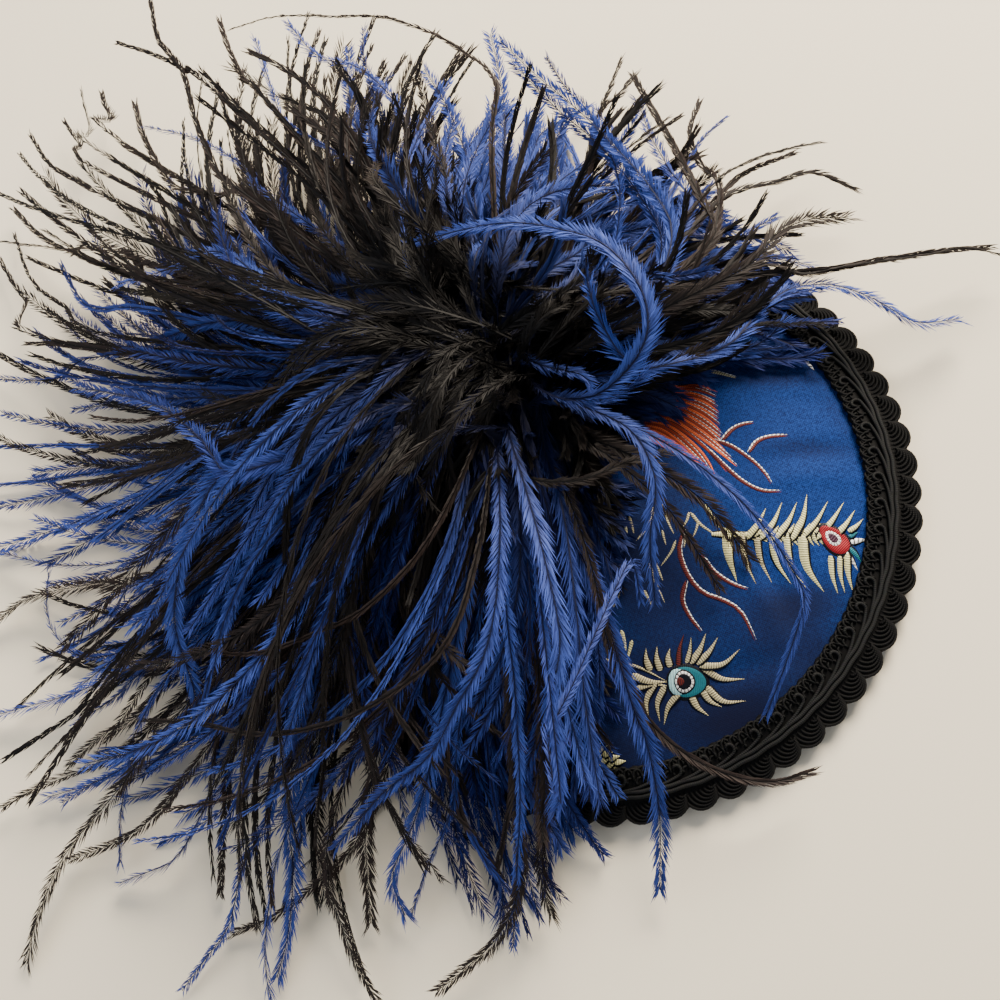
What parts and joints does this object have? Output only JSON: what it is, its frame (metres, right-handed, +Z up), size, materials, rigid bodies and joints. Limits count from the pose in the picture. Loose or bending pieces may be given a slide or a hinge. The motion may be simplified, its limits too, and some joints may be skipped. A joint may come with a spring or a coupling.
{
  "type": "feather fascinator",
  "caption": "Shallow round dome covered in blue brocade and edged with black gimp braid, with an off-centre spray of blue and black ostrich feathers and a hair comb beneath.",
  "frame": {"origin": "middle of the outer box, on the surface that the base's rim lies on", "axes": "+Z up out of the dome, +X towards the clear side of the brocade, -X towards the longest flues"},
  "size_m": [0.2666, 0.2578, 0.0706],
  "materials": {
    "brocade": "satin brocade woven with metallic thread",
    "gimp": "rayon scroll gimp, satin cords",
    "blue_feather": "dyed ostrich flues",
    "black_feather": "dyed ostrich flues",
    "comb_plastic": "moulded, lightly polished"
  },
  "bodies": {
    "root": {"brocade_base": "brocade", "gimp_braid": "gimp", "blue_feathers": "blue_feather", "black_feathers": "black_feather", "hair_comb": "comb_plastic"}
  },
  "joints": []
}
